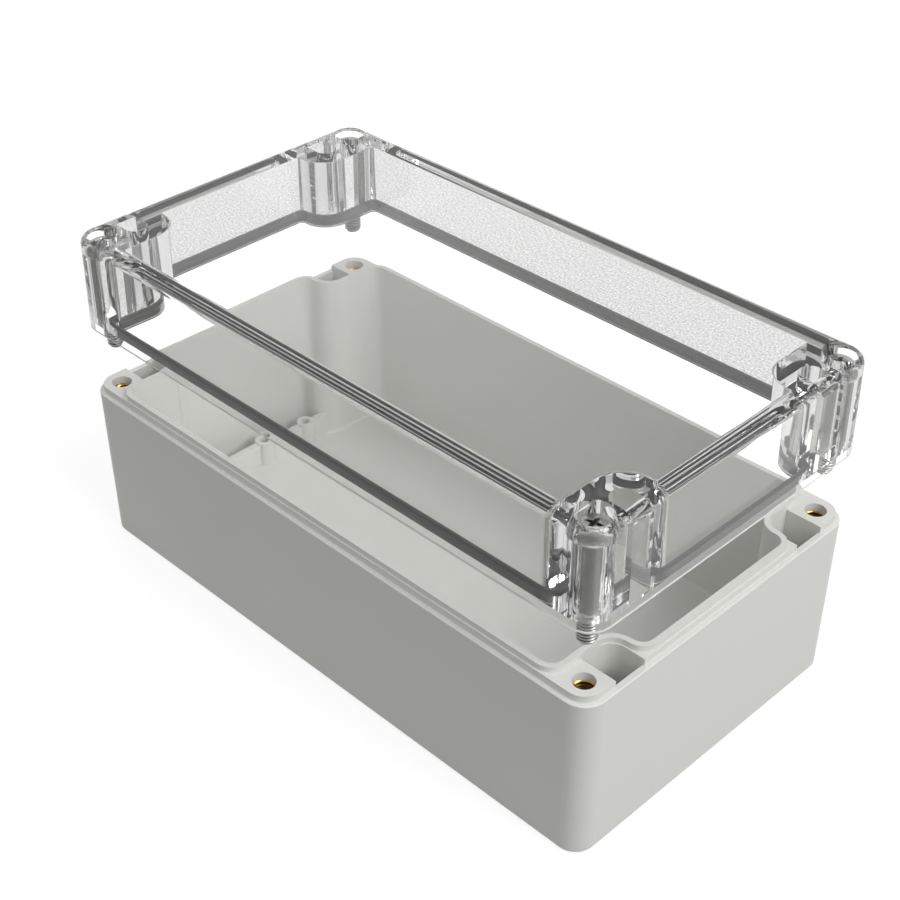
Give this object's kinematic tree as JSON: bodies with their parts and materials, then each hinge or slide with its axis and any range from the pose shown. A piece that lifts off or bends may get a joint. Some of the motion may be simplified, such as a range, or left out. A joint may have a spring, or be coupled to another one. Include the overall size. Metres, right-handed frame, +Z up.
{
  "type": "electronics enclosure",
  "caption": "Rectangular plastic enclosure with a deep clear lid lifted off, a gasket, captive corner screws, brass inserts and inner board bosses.",
  "frame": {"origin": "middle of the flat underside of the base", "axes": "+Z up, the way the lid lifts; +X along the long side; the picture looks from +X and -Y"},
  "size_m": [0.22, 0.12, 0.1154],
  "materials": {
    "base_plastic": "fine matte",
    "clear_polycarbonate": "clear and glossy",
    "gasket_rubber": "matte",
    "screw_steel": "bright",
    "insert_brass": "bright"
  },
  "bodies": {
    "base_body": {"base": "base_plastic", "brass_insert_front_left": "insert_brass", "brass_insert_front_right": "insert_brass", "brass_insert_back_right": "insert_brass", "brass_insert_back_left": "insert_brass"},
    "lid_body": {"lid": "clear_polycarbonate", "gasket": "gasket_rubber"},
    "screw_front_left_body": {"lid_screw_front_left": "screw_steel"},
    "screw_front_right_body": {"lid_screw_front_right": "screw_steel"},
    "screw_back_right_body": {"lid_screw_back_right": "screw_steel"},
    "screw_back_left_body": {"lid_screw_back_left": "screw_steel"}
  },
  "joints": [
    {"name": "lid_lift", "type": "slide", "parent": "base_body", "child": "lid_body", "axis": [0, 0, 1], "range_m": [-0.0254, 0.03]},
    {"name": "screw_turn_front_left", "type": "hinge", "parent": "lid_body", "child": "screw_front_left_body", "pos_m": [-0.1025, -0.0525, 0.109], "axis": [0, 0, 1], "continuous": true},
    {"name": "screw_turn_front_right", "type": "hinge", "parent": "lid_body", "child": "screw_front_right_body", "pos_m": [0.1025, -0.0525, 0.109], "axis": [0, 0, 1], "continuous": true},
    {"name": "screw_turn_back_right", "type": "hinge", "parent": "lid_body", "child": "screw_back_right_body", "pos_m": [0.1025, 0.0525, 0.109], "axis": [0, 0, 1], "continuous": true},
    {"name": "screw_turn_back_left", "type": "hinge", "parent": "lid_body", "child": "screw_back_left_body", "pos_m": [-0.1025, 0.0525, 0.109], "axis": [0, 0, 1], "continuous": true}
  ]
}
